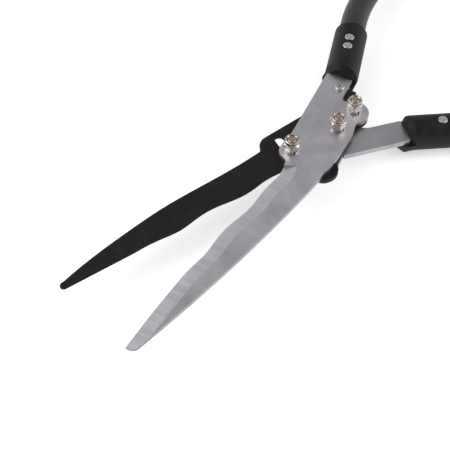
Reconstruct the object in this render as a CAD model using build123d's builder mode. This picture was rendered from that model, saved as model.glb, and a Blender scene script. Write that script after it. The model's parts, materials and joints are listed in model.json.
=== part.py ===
from build123d import *
from math import atan2, cos, hypot, pi, radians, sin
import os

# Compound-action hedge shears, in millimetres. The tool lies flat: +Z is up, +Y runs from
# the handles to the blade tips and +X is to the right. While it is drawn, the axis of the
# lever pivot is at X = Y = 0 and Z = 0 is the plane in which the two blades slide. The last
# lines move every piece so that the origin is the centre of the tool's footprint.

# ---- plates -------------------------------------------------------------------------
BLADE_THICKNESS = 4.0
ARM_THICKNESS = 5.0
SLIDING_GAP = 0.1        # between plates that turn on each other
EDGE_THICKNESS = 0.6     # left at the cutting edge under the ground bevel
BEVEL_WIDTH = 12.2
RUN_IN = (3.9, 8.5)      # the bevel starts this far outside and behind the first edge point
EDGE_STEPS = 24          # points that a cutting edge is drawn through
WAVES_BEGIN = 0.125      # share of the edge over which the waves swell up
WAVES_FADE = 0.5         # share at which they begin to die out
WAVES_END = 0.7          # and at which they have gone

# ---- pivots (centres in the plane of the plates) --------------------------------------
LEVER_PIVOT = (0.0, 0.0)
BLADE_PIVOT = (3.4, -26.4)
GUIDE_BOLT = (10.8, 47.6)
DRIVE_PIN = (-21.0, 42.3)
BLADE_TRAVEL = 13.5      # degrees the lower blade turns to close
LEVER_TRAVEL = 20.83     # degrees the lever arm turns to close
DRIVE_SLOT = 3.4         # length the drive pin needs along its slot

# ---- hardware -------------------------------------------------------------------------
BOLT_RADIUS = 4.0
SLIP_FIT = 0.03
RUNNING_FIT = 0.05
SLOT_CLEARANCE = 0.4
BUSH_RADIUS = 5.2
NUT_FLATS = 13.0
NUT_HEX_HEIGHT = 6.3
NUT_HEIGHT = 10.2
NUT_COLLAR_RADIUS = 6.2
NUT_COLLAR_FILLET = 1.2
NUT_COUNTERSINK = 0.6
LOCK_WASHER_RADIUS = 7.3
LOCK_WASHER_HEIGHT = 2.0
LOCK_WASHER_GAP = 1.5
FLAT_WASHER_RADIUS = 9.5
FLAT_WASHER_HEIGHT = 1.6
HEAD_RADIUS = 6.5
HEAD_HEIGHT = 5.0
SOCKET_FLATS = 5.0
SOCKET_DEPTH = 2.8
BOLT_CHAMFER = 0.8
BOLT_END_DEPTH = 0.1      # a bolt ends this far below the top of its nut
SPLIT_LEAN = 0.8          # half the slant of a lock washer's split
PIN_HEAD_HEIGHT = 2.6
PIN_HEAD_FILLET = 1.8
PIN_END_ROOM = 0.2        # between the drive pin and the upper blade

# ---- handles --------------------------------------------------------------------------
ARM_WIDTH = 24.4
UPPER_ARM = {"bearing": -70.4, "offset": 20.8, "side": 1}
LOWER_ARM = {"bearing": -118.3, "offset": 14.6, "side": -1}
ARM_LENGTH = 59.5                   # from the lever pivot to the end of the full width
ELBOW = 6.0                         # the collar's axis turns outwards behind its front rim
SPLAY = 12.0
TONGUE = 8.0                        # the collar's lower half reaches forward under the arm
DROP = 2.5                          # the handle's axis lies this far below the arm's mid-plane
COLLAR_RADIUS = 15.5
COLLAR_CHAMFER = 4.5
COLLAR_LENGTH = 60.0
TANG_WIDTH = 14.0
TANG_LENGTH = 42.0
TANG_PLAY = 0.1
TUBE_RADIUS = 12.5
TUBE_WALL = 1.6
TUBE_START = 18.0
BEND_START = 74.0
BEND_RADIUS = 180.0
BEND_ANGLE = 26.0                   # the tube bends back inwards
TUBE_TAIL = 180.0                   # straight length behind the bend
RIVET_PLACES = (26.0, 38.0)
RIVET_RADIUS = 2.5
RIVET_HEAD = 4.6
RIVET_HEAD_HEIGHT = 1.9
RIVET_FILLET = 1.4
RIVET_SEAT = 13.4                   # from the collar's axis to the flat under a rivet head
RIVET_ROOM = 0.4
REAR_CHAMFER = 2.2
GRIP_WIDTH = 34.0
GRIP_HEIGHT = 31.0
GRIP_CORNER = 11.0
GRIP_LENGTH = 142.0
GRIP_FLANGE = 3.0
FLANGE_LENGTH = 7.0
FLANGE_FILLET = 2.4
CAP_THICKNESS = 7.0
CAP_FILLET = 4.5
CAP_PLUG = 16.0

# ---- levels ---------------------------------------------------------------------------
UPPER_Z = SLIDING_GAP / 2
UPPER_TOP = UPPER_Z + BLADE_THICKNESS
LOWER_Z = -SLIDING_GAP / 2 - BLADE_THICKNESS
LEVER_Z = LOWER_Z - SLIDING_GAP - ARM_THICKNESS

# ---- rubber buffer --------------------------------------------------------------------
BUFFER_HEIGHT = 10.0
BUFFER_SCREW_RADIUS = 2.5
BUFFER_SCREW_CORE = 2.2
BUFFER_SCREW_DEPTH = 8.0
BUFFER_SCREW_HEAD = (4.6, 2.6, 1.6)   # radius, height and rounding
BUFFER_SCREW_SOCKET = (3.0, 1.6)      # across flats and depth

PIECES = []


def keep(solid, label):
    """Label a finished piece and remember it for the export."""
    solid.label = label
    PIECES.append(solid)


def on_arm(arm, along, across):
    """A point at a distance along an arm and across it, outwards, from the lever pivot."""
    ahead = radians(arm["bearing"])
    out = ahead + arm["side"] * pi / 2
    return (along * cos(ahead) + across * cos(out), along * sin(ahead) + across * sin(out))


def turned(point, centre, angle):
    """A point turned about a centre by an angle in degrees."""
    reach = hypot(point[0] - centre[0], point[1] - centre[1])
    bearing = atan2(point[1] - centre[1], point[0] - centre[0]) + radians(angle)
    return (centre[0] + reach * cos(bearing), centre[1] + reach * sin(bearing))


def path_of(point, centre, angle):
    """The arc that a point draws while it turns about a centre."""
    return Edge.make_three_point_arc(
        point, turned(point, centre, angle / 2), turned(point, centre, angle)
    )


def cutting_edge(root, tip, bulge, lean, wave, crest, side):
    """Points of a wavy cutting edge: a straight line, a slow bulge and waves that die out."""
    wave_height, wave_length = wave
    points = []
    for step in range(EDGE_STEPS + 1):
        t = step / EDGE_STEPS
        y = root[1] + t * (tip[1] - root[1])
        ease = min(1.0, t / WAVES_BEGIN, max(0.0, (WAVES_END - t) / (WAVES_END - WAVES_FADE)))
        ripple = ease * wave_height * cos(2 * pi * (y - crest) / wave_length)
        swell = side * (bulge * sin(pi * t ** lean) + ripple)
        points.append((root[0] + t * (tip[0] - root[0]) + swell, y))
    return points


# root, tip, height of the bulge and its lean, height and length of the waves, a crest, side
UPPER_EDGE = cutting_edge((-0.4, 75.0), (-33.7, 275.6), 3.9, 1.4, (1.3, 60.0), 148.0, 1)
LOWER_EDGE = cutting_edge((1.6, 73.0), (37.8, 273.6), 1.4, 0.9, (1.8, 68.0), 109.0, -1)


def bevel_cutter(edge, level, inward):
    """A triangular bar along a cutting edge, which takes the ground bevel off a blade."""
    x0, y0 = edge[0]
    (x2, y2), (x3, y3) = edge[-2], edge[-1]
    run_in = (x0 + inward * RUN_IN[0], y0 - RUN_IN[1])
    run_out = (x3 + 2 * (x3 - x2), y3 + 2 * (y3 - y2))
    depth = BLADE_THICKNESS - EDGE_THICKNESS
    slope = depth / BEVEL_WIDTH
    lift = 0.5                      # the bar stands this far out of the face
    reach = 4.0                     # and this far over the edge
    with BuildPart() as bar:
        with BuildLine() as path:
            rim = Spline(*[(x, y, level) for x, y in [run_in] + edge + [run_out]])
        ahead = rim % 0
        across = (-inward * ahead.Y, inward * ahead.X, 0)
        with BuildSketch(Plane(origin=rim @ 0, x_dir=across, z_dir=ahead)):
            with BuildLine():
                Polyline(
                    (BEVEL_WIDTH + lift / slope, lift),
                    (-reach, lift),
                    (-reach, -depth - reach * slope),
                    close=True,
                )
            make_face()
        sweep(path=path.line)
    return bar.part


def add_tang(arm):
    """The narrow tang behind an arm, which bends outwards into the handle."""
    elbow = on_arm(arm, ARM_LENGTH + ELBOW, arm["offset"])
    heading = arm["bearing"] + arm["side"] * SPLAY
    root = on_arm(arm, ARM_LENGTH - 2, arm["offset"])
    with Locations(Location((*root, 0), (0, 0, arm["bearing"]))):
        Rectangle(ELBOW + 2, TANG_WIDTH, align=(Align.MIN, Align.CENTER))
    with Locations(elbow):
        Circle(TANG_WIDTH / 2)
    with Locations(Location((*elbow, 0), (0, 0, heading))):
        Rectangle(TANG_LENGTH, TANG_WIDTH, align=(Align.MIN, Align.CENTER))


def rivet_holes(arm, radius):
    """Places and holes of a handle's rivets in a plan sketch."""
    elbow = on_arm(arm, ARM_LENGTH + ELBOW, arm["offset"])
    heading = radians(arm["bearing"] + arm["side"] * SPLAY)
    places = [(elbow[0] + x * cos(heading), elbow[1] + x * sin(heading)) for x in RIVET_PLACES]
    with Locations(*places):
        Circle(radius, mode=Mode.SUBTRACT)


# ---- upper blade ------------------------------------------------------------------------
LOBE_CENTRE = (1.2, -23.7)       # of the outline around the blade pivot
LOBE_RADIUS = 13.2
EAR_CENTRE = (9.0, 49.6)         # of the outline around the guide bolt
EAR_RADIUS = 10.6

BUFFER_SCREW = on_arm(UPPER_ARM, 45.5, 15.5)
inner_corner = on_arm(UPPER_ARM, ARM_LENGTH, UPPER_ARM["offset"] - ARM_WIDTH / 2)
outer_corner = on_arm(UPPER_ARM, ARM_LENGTH, UPPER_ARM["offset"] + ARM_WIDTH / 2)

with BuildPart() as upper_blade:
    with BuildSketch(Plane.XY.offset(UPPER_Z)):
        with BuildLine():
            Spline(*UPPER_EDGE)
            ThreePointArc(UPPER_EDGE[-1], (-38.3, 274.3), (-41.4, 268.0))
            ThreePointArc((-41.4, 268.0), (-38.9, 164.6), (-28.9, 57.3))
            FilletPolyline(
                (-28.9, 57.3), (-26.9, 48.0), (-27.3, 41.5), (-21.2, 17.5), (-15.7, -2.3),
                (-11.0, -10.5), (-4.0, -30.0), (14.4, -28.6), (18.6, -27.0), inner_corner,
                outer_corner, (30.9, 11.6), (22.4, 36.0), (19.8, 52.0), (9.0, 59.9),
                (4.4, 61.4), (2.2, 67.0), UPPER_EDGE[0],
                radius=(6, 6, 12, 10, 3, 0, 0, 2.5, 0, 2, 20, 14, 10, 3, 4, 6),
            )
        make_face()
        with Locations(LOBE_CENTRE):
            Circle(LOBE_RADIUS)
        with Locations(EAR_CENTRE):
            Circle(EAR_RADIUS)
        add_tang(UPPER_ARM)
        rivet_holes(UPPER_ARM, RIVET_RADIUS + SLIP_FIT)
        with Locations(LEVER_PIVOT, BLADE_PIVOT, GUIDE_BOLT):
            Circle(BOLT_RADIUS + SLIP_FIT, mode=Mode.SUBTRACT)
        with Locations(BUFFER_SCREW):
            Circle(BUFFER_SCREW_RADIUS + SLIP_FIT, mode=Mode.SUBTRACT)
    extrude(amount=BLADE_THICKNESS)
    add(bevel_cutter(UPPER_EDGE, UPPER_TOP, 1), mode=Mode.SUBTRACT)
keep(upper_blade.part, "upper_blade")

# ---- lower blade ------------------------------------------------------------------------
LUG_RADIUS = 13.0
pin_reach = hypot(DRIVE_PIN[0] - BLADE_PIVOT[0], DRIVE_PIN[1] - BLADE_PIVOT[1])
pin_inner = tuple(p - (p - c) * DRIVE_SLOT / pin_reach for p, c in zip(DRIVE_PIN, BLADE_PIVOT))

with BuildPart() as lower_blade:
    with BuildSketch(Plane.XY.offset(LOWER_Z)):
        with BuildLine():
            Spline(*LOWER_EDGE)
            ThreePointArc(LOWER_EDGE[-1], (41.2, 275.7), (44.3, 270.8))
            Spline(
                (44.3, 270.8), (45.7, 250.0), (45.5, 203.0), (43.2, 165.0), (36.6, 120.7), (30.2, 70.2),
            )
            FilletPolyline(
                (30.2, 70.2), (29.8, 65.5), (36.6, 60.0), (38.6, 54.0), (32.4, 4.0), (14.2, -24.0),
                (1.2, -34.0), (-10.8, -24.0), (-12.5, -8.0), (-24.5, 30.0), (-31.0, 50.0), (-12.0, 54.5),
                (7.0, 59.2), (1.2, 68.6), LOWER_EDGE[0],
                radius=(3, 3, 4, 14, 0, 0, 0, 10, 0, 0, 0, 3, 3),
            )
        make_face()
        with Locations(LOBE_CENTRE, DRIVE_PIN):
            Circle(LUG_RADIUS)
        with Locations(BLADE_PIVOT):
            Circle(BUSH_RADIUS + RUNNING_FIT, mode=Mode.SUBTRACT)
        guide_path = path_of(GUIDE_BOLT, BLADE_PIVOT, -BLADE_TRAVEL)
        SlotArc(guide_path, 2 * (BOLT_RADIUS + SLOT_CLEARANCE), mode=Mode.SUBTRACT)
        pivot_path = path_of(LEVER_PIVOT, BLADE_PIVOT, -BLADE_TRAVEL)
        SlotArc(pivot_path, 2 * (BUSH_RADIUS + SLOT_CLEARANCE), mode=Mode.SUBTRACT)
        pin_path = Edge.make_line(DRIVE_PIN, pin_inner)
        SlotArc(pin_path, 2 * (BOLT_RADIUS + SLOT_CLEARANCE), mode=Mode.SUBTRACT)
    extrude(amount=BLADE_THICKNESS)
    add(bevel_cutter(LOWER_EDGE, LOWER_Z, -1), mode=Mode.SUBTRACT)
keep(lower_blade.part, "lower_blade")

# ---- lever arm --------------------------------------------------------------------------
ARM_INNER = LOWER_ARM["offset"] - ARM_WIDTH / 2
ARM_OUTER = LOWER_ARM["offset"] + ARM_WIDTH / 2
BOSS_RADIUS = 14.0
PIN_END_RADIUS = 9.6
HEAD_ROOM = HEAD_RADIUS + SLOT_CLEARANCE

with BuildPart() as lever_arm:
    with BuildSketch(Plane.XY.offset(LEVER_Z)):
        with BuildSketch(mode=Mode.PRIVATE) as short_end:
            with Locations(LEVER_PIVOT):
                Circle(BOSS_RADIUS)
            with Locations(DRIVE_PIN):
                Circle(PIN_END_RADIUS)
            make_hull()
        add(short_end.sketch)
        with BuildLine():
            FilletPolyline(
                on_arm(LOWER_ARM, 0, 4), on_arm(LOWER_ARM, 16, -3), on_arm(LOWER_ARM, 29, ARM_INNER),
                on_arm(LOWER_ARM, ARM_LENGTH, ARM_INNER), on_arm(LOWER_ARM, ARM_LENGTH, ARM_OUTER),
                on_arm(LOWER_ARM, -3, ARM_OUTER), on_arm(LOWER_ARM, -3, 8),
                close=True,
                radius=(0, 0, 12, 0, 2, 0, 0),
            )
        make_face()
        add_tang(LOWER_ARM)
        rivet_holes(LOWER_ARM, RIVET_RADIUS + SLIP_FIT)
        head_path = path_of(BLADE_PIVOT, LEVER_PIVOT, -LEVER_TRAVEL)
        SlotArc(head_path, 2 * HEAD_ROOM, mode=Mode.SUBTRACT)
        with Locations(LEVER_PIVOT):
            Circle(BUSH_RADIUS + RUNNING_FIT, mode=Mode.SUBTRACT)
        with Locations(DRIVE_PIN):
            Circle(BOLT_RADIUS + SLIP_FIT, mode=Mode.SUBTRACT)
    extrude(amount=ARM_THICKNESS)
keep(lever_arm.part, "lever_arm")


# ---- bolts, nuts and washers ------------------------------------------------------------
def bolt(place, head_top, label):
    """A low-head socket bolt from below, ending just inside the top of its nut."""
    length = UPPER_TOP + LOCK_WASHER_HEIGHT + NUT_HEIGHT - BOLT_END_DEPTH - head_top
    with BuildPart() as screw:
        with BuildSketch(Plane.XY.offset(head_top)):
            with Locations(place):
                Circle(BOLT_RADIUS)
        extrude(amount=length)
        with BuildSketch(Plane.XY.offset(head_top)):
            with Locations(place):
                Circle(HEAD_RADIUS)
        extrude(amount=-HEAD_HEIGHT)
        chamfer(screw.edges().filter_by(GeomType.CIRCLE).sort_by(Axis.Z)[0], BOLT_CHAMFER)
        chamfer(screw.edges().filter_by(GeomType.CIRCLE).sort_by(Axis.Z)[-1], BOLT_CHAMFER)
        with BuildSketch(Plane.XY.offset(head_top - HEAD_HEIGHT)):
            with Locations(place):
                RegularPolygon(SOCKET_FLATS / 2, 6, major_radius=False)
        extrude(amount=SOCKET_DEPTH, mode=Mode.SUBTRACT)
    keep(screw.part, label)


def lock_nut(place, turn, label):
    """A lock nut: a chamfered hexagon under a round collar that grips the bolt's end."""
    base = UPPER_TOP + LOCK_WASHER_HEIGHT
    corner = NUT_FLATS / 2 / cos(pi / 6)
    at = Plane(origin=(*place, base))
    with BuildPart() as nut:
        with BuildSketch(at):
            RegularPolygon(NUT_FLATS / 2, 6, rotation=turn, major_radius=False)
        extrude(amount=NUT_HEX_HEIGHT)
        with BuildSketch(Plane(origin=(*place, base), x_dir=(1, 0, 0), z_dir=(0, -1, 0))):
            with BuildLine():
                # half the outline that chamfers the hexagon's corners, below and above
                Polyline(
                    (0, 0), (corner - 0.7, 0), (corner + 0.3, 0.9),
                    (corner + 0.3, NUT_HEX_HEIGHT - 1.2), (corner - 1.5, NUT_HEX_HEIGHT),
                    (0, NUT_HEX_HEIGHT), close=True,
                )
            make_face()
        revolve(axis=Axis((*place, 0), (0, 0, 1)), mode=Mode.INTERSECT)
        with BuildSketch(at.offset(NUT_HEX_HEIGHT - 0.5)):
            Circle(NUT_COLLAR_RADIUS)
        extrude(amount=NUT_HEIGHT - NUT_HEX_HEIGHT + 0.5)
        fillet(nut.edges().filter_by(GeomType.CIRCLE).sort_by(Axis.Z)[-1], NUT_COLLAR_FILLET)
        with BuildSketch(at):
            Circle(BOLT_RADIUS + SLIP_FIT)
        extrude(amount=NUT_HEIGHT, mode=Mode.SUBTRACT)
        rims = nut.edges().filter_by(GeomType.CIRCLE).group_by(Axis.Z)[-1]
        chamfer(rims.sort_by(SortBy.RADIUS)[0], NUT_COUNTERSINK)
    keep(nut.part, label)


def lock_washer(place, turn, label):
    """A spring lock washer: a square-section ring with a slanting split."""
    with BuildPart() as ring:
        with BuildSketch(Plane(origin=(*place, UPPER_TOP))):
            Circle(LOCK_WASHER_RADIUS)
            Circle(BOLT_RADIUS + 0.3, mode=Mode.SUBTRACT)
        extrude(amount=LOCK_WASHER_HEIGHT)
        out = (cos(radians(turn)), sin(radians(turn)), 0)
        half = LOCK_WASHER_GAP / 2
        top = LOCK_WASHER_HEIGHT + 0.5
        with BuildSketch(Plane(origin=(*place, UPPER_TOP), x_dir=(-out[1], out[0], 0), z_dir=out)):
            with BuildLine():
                Polyline(
                    (-half - SPLIT_LEAN, -0.5), (half - SPLIT_LEAN, -0.5),
                    (half + SPLIT_LEAN, top), (-half + SPLIT_LEAN, top), close=True,
                )
            make_face()
        extrude(amount=LOCK_WASHER_RADIUS + 1, mode=Mode.SUBTRACT)
    keep(ring.part, label)


def ring(place, level, height, inner, outer, label):
    """A plain ring standing on a level: a flat washer or a bush."""
    with BuildPart() as plain:
        with BuildSketch(Plane(origin=(*place, level))):
            Circle(outer)
            Circle(inner, mode=Mode.SUBTRACT)
        extrude(amount=height)
    keep(plain.part, label)


UNDER_BLADE = LOWER_Z - SLIDING_GAP
UNDER_LEVER = LEVER_Z - SLIDING_GAP
bolt(BLADE_PIVOT, UNDER_BLADE, "blade_pivot_bolt")
bolt(LEVER_PIVOT, UNDER_LEVER - FLAT_WASHER_HEIGHT, "lever_pivot_bolt")
bolt(GUIDE_BOLT, UNDER_BLADE - FLAT_WASHER_HEIGHT, "guide_bolt")
for place, turn, name in (
    (BLADE_PIVOT, 12, "blade_pivot"), (LEVER_PIVOT, 26, "lever_pivot"), (GUIDE_BOLT, 3, "guide"),
):
    lock_nut(place, turn, name + "_lock_nut")
    lock_washer(place, 150 + turn, name + "_lock_washer")
BUSH_BORE = BOLT_RADIUS + SLIP_FIT
ring(BLADE_PIVOT, UNDER_BLADE, UPPER_Z - UNDER_BLADE, BUSH_BORE, BUSH_RADIUS, "blade_pivot_bush")
ring(LEVER_PIVOT, UNDER_LEVER, UPPER_Z - UNDER_LEVER, BUSH_BORE, BUSH_RADIUS, "lever_pivot_bush")
for place, level, name in (
    (LEVER_PIVOT, UNDER_LEVER, "lever_pivot_washer"), (GUIDE_BOLT, UNDER_BLADE, "guide_washer"),
):
    ring(place, level - FLAT_WASHER_HEIGHT, FLAT_WASHER_HEIGHT, BUSH_BORE, FLAT_WASHER_RADIUS, name)

with BuildPart() as drive_pin:
    with BuildSketch(Plane(origin=(*DRIVE_PIN, LEVER_Z))):
        Circle(BOLT_RADIUS)
    extrude(amount=-LEVER_Z - PIN_END_ROOM)
    with BuildSketch(Plane(origin=(*DRIVE_PIN, LEVER_Z))):
        Circle(HEAD_RADIUS)
    extrude(amount=-PIN_HEAD_HEIGHT)
    fillet(drive_pin.edges().filter_by(GeomType.CIRCLE).sort_by(Axis.Z)[0], PIN_HEAD_FILLET)
keep(drive_pin.part, "drive_pin")


# ---- handles ----------------------------------------------------------------------------
def handle(arm, arm_level, prefix):
    """Collar, core, rivets, bent tube, grip and end cap of one handle."""
    level = arm_level - DROP
    ahead = radians(arm["bearing"])
    heading = radians(arm["bearing"] + arm["side"] * SPLAY)
    rim = on_arm(arm, ARM_LENGTH, arm["offset"])
    elbow = on_arm(arm, ARM_LENGTH + ELBOW, arm["offset"])
    front = Plane(origin=(*rim, level), x_dir=(cos(ahead), sin(ahead), 0), z_dir=(0, 0, 1))
    body = Plane(origin=(*elbow, level), x_dir=(cos(heading), sin(heading), 0), z_dir=(0, 0, 1))
    thickness = BLADE_THICKNESS if arm is UPPER_ARM else ARM_THICKNESS
    room = thickness / 2 + SLIP_FIT
    inner = TUBE_RADIUS - TUBE_WALL
    tube_mouth = Plane(
        origin=body.from_local_coords((TUBE_START, 0, 0)), x_dir=(0, 0, 1), z_dir=body.x_dir
    )

    def behind(shape):
        """How far a shape's middle lies behind the collar's front rim."""
        return (shape.center() - front.origin).dot(front.x_dir)

    with BuildPart() as collar:
        with BuildLine() as route:
            Polyline(
                front.from_local_coords((-TONGUE, 0, 0)), front.from_local_coords((ELBOW, 0, 0)),
                body.from_local_coords((COLLAR_LENGTH, 0, 0)),
            )
        with BuildSketch(Plane(origin=route.line @ 0, x_dir=(0, 0, 1), z_dir=front.x_dir)):
            Circle(COLLAR_RADIUS)
        sweep(path=route.wires()[0], transition=Transition.RIGHT)
        rims = collar.edges().filter_by(GeomType.CIRCLE).sort_by(behind)
        chamfer(rims[0], COLLAR_CHAMFER)
        chamfer(rims[-1], REAR_CHAMFER)
        with BuildSketch(front.offset(DROP - room)):
            Rectangle(TONGUE + 10, 4 * COLLAR_RADIUS, align=(Align.MAX, Align.CENTER))
        extrude(amount=COLLAR_RADIUS + 10, mode=Mode.SUBTRACT)
        with BuildSketch(front):
            with BuildLine():
                Polyline(
                    (-1, COLLAR_RADIUS - COLLAR_CHAMFER - 1), (-1, COLLAR_RADIUS + 1),
                    (COLLAR_CHAMFER + 1, COLLAR_RADIUS + 1), close=True,
                )
            make_face()
        revolve(axis=Axis(front.origin, front.x_dir), revolution_arc=180, mode=Mode.SUBTRACT)
        with BuildSketch(front.offset(DROP - room)):
            Rectangle(ELBOW + 1, TANG_WIDTH + TANG_PLAY, align=(Align.MIN, Align.CENTER))
        extrude(amount=2 * room, mode=Mode.SUBTRACT)
        with BuildSketch(body.offset(DROP - room)):
            Circle((TANG_WIDTH + TANG_PLAY) / 2)
            Rectangle(TUBE_START + 1, TANG_WIDTH + TANG_PLAY, align=(Align.MIN, Align.CENTER))
        extrude(amount=2 * room, mode=Mode.SUBTRACT)
        with BuildSketch(tube_mouth):
            Circle(TUBE_RADIUS + SLIP_FIT)
        extrude(amount=COLLAR_LENGTH, mode=Mode.SUBTRACT)
        with BuildSketch(body.offset(-COLLAR_RADIUS - 1)):
            with Locations(*[(x, 0) for x in RIVET_PLACES]):
                Circle(RIVET_RADIUS + SLIP_FIT)
        extrude(amount=2 * COLLAR_RADIUS + 2, mode=Mode.SUBTRACT)
        for way in (1, -1):
            with BuildSketch(body.offset(way * RIVET_SEAT)):
                with Locations(*[(x, 0) for x in RIVET_PLACES]):
                    Circle(RIVET_HEAD + RIVET_ROOM)
            extrude(amount=way * COLLAR_RADIUS, mode=Mode.SUBTRACT)
    keep(collar.part, prefix + "_collar")

    with BuildPart() as core:
        with BuildSketch(tube_mouth):
            Circle(inner - SLIP_FIT)
        extrude(amount=TANG_LENGTH - TUBE_START + 8)
        with BuildSketch(body.offset(DROP - room)):
            Rectangle(TANG_LENGTH + TANG_PLAY, TANG_WIDTH + TANG_PLAY, align=(Align.MIN, Align.CENTER))
        extrude(amount=2 * room, mode=Mode.SUBTRACT)
        with BuildSketch(body.offset(-COLLAR_RADIUS)):
            with Locations(*[(x, 0) for x in RIVET_PLACES]):
                Circle(RIVET_RADIUS + SLIP_FIT)
        extrude(amount=2 * COLLAR_RADIUS, mode=Mode.SUBTRACT)
    keep(core.part, prefix + "_tang_core")

    with BuildPart() as rivets:
        with BuildSketch(body.offset(-RIVET_SEAT)):
            with Locations(*[(x, 0) for x in RIVET_PLACES]):
                Circle(RIVET_RADIUS)
        extrude(amount=2 * RIVET_SEAT)
        for way in (1, -1):
            with BuildSketch(body.offset(way * RIVET_SEAT)):
                with Locations(*[(x, 0) for x in RIVET_PLACES]):
                    Circle(RIVET_HEAD)
            extrude(amount=way * RIVET_HEAD_HEIGHT)
        rims = rivets.edges().filter_by(GeomType.CIRCLE).group_by(Axis.Z)
        fillet(rims[0] + rims[-1], RIVET_FILLET)
    keep(rivets.part, prefix + "_rivets")

    with BuildPart() as tube:
        with BuildLine(body) as route:
            lead = Line((TUBE_START, 0), (BEND_START, 0))
            bend = JernArc(lead @ 1, lead % 1, BEND_RADIUS, -arm["side"] * BEND_ANGLE)
            tail = Line(bend @ 1, (bend @ 1) + (bend % 1) * TUBE_TAIL)
        with BuildSketch(Plane(origin=lead @ 0, x_dir=(0, 0, 1), z_dir=lead % 0)):
            Circle(TUBE_RADIUS)
            Circle(inner, mode=Mode.SUBTRACT)
        sweep(path=route.wires()[0])
        with BuildSketch(body.offset(-COLLAR_RADIUS)):
            with Locations(*[(x, 0) for x in RIVET_PLACES]):
                Circle(RIVET_RADIUS + SLIP_FIT)
        extrude(amount=2 * COLLAR_RADIUS, mode=Mode.SUBTRACT)
    keep(tube.part, prefix + "_tube")

    end = tail @ 1
    back = tail % 1
    mouth = Plane(origin=end, x_dir=back.cross(Vector(0, 0, 1)), z_dir=back)

    def from_mouth(shape):
        """How far a shape's middle lies behind the tube's end."""
        return (shape.center() - end).dot(back)

    with BuildPart() as grip:
        with BuildSketch(mouth.offset(-GRIP_LENGTH)):
            RectangleRounded(GRIP_WIDTH, GRIP_HEIGHT, GRIP_CORNER)
        extrude(amount=GRIP_LENGTH)
        with BuildSketch(mouth.offset(-GRIP_LENGTH)):
            RectangleRounded(GRIP_WIDTH + 2 * GRIP_FLANGE, GRIP_HEIGHT, GRIP_CORNER)
        extrude(amount=FLANGE_LENGTH)
        front_face = grip.faces().filter_by(GeomType.PLANE).sort_by(from_mouth)[0]
        fillet(front_face.edges(), FLANGE_FILLET)
        with BuildSketch(mouth.offset(-GRIP_LENGTH - 1)):
            Circle(TUBE_RADIUS + SLIP_FIT)
        extrude(amount=GRIP_LENGTH + 2, mode=Mode.SUBTRACT)
    keep(grip.part, prefix + "_grip")

    with BuildPart() as cap:
        with BuildSketch(mouth):
            RectangleRounded(GRIP_WIDTH, GRIP_HEIGHT, GRIP_CORNER)
        extrude(amount=CAP_THICKNESS)
        rear_face = cap.faces().filter_by(GeomType.PLANE).sort_by(from_mouth)[-1]
        fillet(rear_face.edges(), CAP_FILLET)
        with BuildSketch(mouth):
            Circle(inner - SLIP_FIT)
        extrude(amount=-CAP_PLUG)
    keep(cap.part, prefix + "_end_cap")


handle(UPPER_ARM, UPPER_Z + BLADE_THICKNESS / 2, "upper")
handle(LOWER_ARM, LEVER_Z + ARM_THICKNESS / 2, "lower")

# ---- rubber buffer under the upper arm --------------------------------------------------
with BuildPart() as buffer:
    with BuildSketch(Plane.XY.offset(UPPER_Z)):
        with BuildLine():
            FilletPolyline(
                on_arm(UPPER_ARM, 38.0, 11.0), on_arm(UPPER_ARM, 40.0, 5.5),
                on_arm(UPPER_ARM, 51.2, -1.0), on_arm(UPPER_ARM, 51.2, 22.0),
                on_arm(UPPER_ARM, 42.0, 22.0),
                close=True,
                radius=(2, 2, 2, 1, 3),
            )
        make_face()
        with Locations(BUFFER_SCREW):
            Circle(BUFFER_SCREW_CORE, mode=Mode.SUBTRACT)
    extrude(amount=-BUFFER_HEIGHT)
keep(buffer.part, "buffer")

head_radius, head_height, head_fillet = BUFFER_SCREW_HEAD
socket_flats, socket_depth = BUFFER_SCREW_SOCKET
with BuildPart() as buffer_screw:
    with BuildSketch(Plane(origin=(*BUFFER_SCREW, UPPER_TOP))):
        Circle(BUFFER_SCREW_RADIUS)
    extrude(amount=-BLADE_THICKNESS)
    with BuildSketch(Plane(origin=(*BUFFER_SCREW, UPPER_Z))):
        Circle(BUFFER_SCREW_CORE)
    extrude(amount=-BUFFER_SCREW_DEPTH)
    with BuildSketch(Plane(origin=(*BUFFER_SCREW, UPPER_TOP))):
        Circle(head_radius)
    extrude(amount=head_height)
    fillet(buffer_screw.edges().filter_by(GeomType.CIRCLE).sort_by(Axis.Z)[-1], head_fillet)
    with BuildSketch(Plane(origin=(*BUFFER_SCREW, UPPER_TOP + head_height))):
        RegularPolygon(socket_flats / 2, 6, major_radius=False)
    extrude(amount=-socket_depth, mode=Mode.SUBTRACT)
keep(buffer_screw.part, "buffer_screw")

# ---- footprint and export ---------------------------------------------------------------
os.makedirs("parts", exist_ok=True)
footprint = Compound(children=[piece.moved(Location()) for piece in PIECES]).bounding_box()
home = Location((-footprint.center().X, -footprint.center().Y, -footprint.min.Z))
for piece in PIECES:
    placed = home * piece
    placed.label = piece.label
    export_step(placed, f"parts/{piece.label}.step")
print("pivots moved by", [round(v, 4) for v in home.position])
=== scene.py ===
import json
from math import atan2, cos, pi, radians, sin, tan

import bmesh
import bpy
from bpy.props import FloatProperty, FloatVectorProperty, IntProperty, PointerProperty
from mathutils import Matrix, Vector


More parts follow.
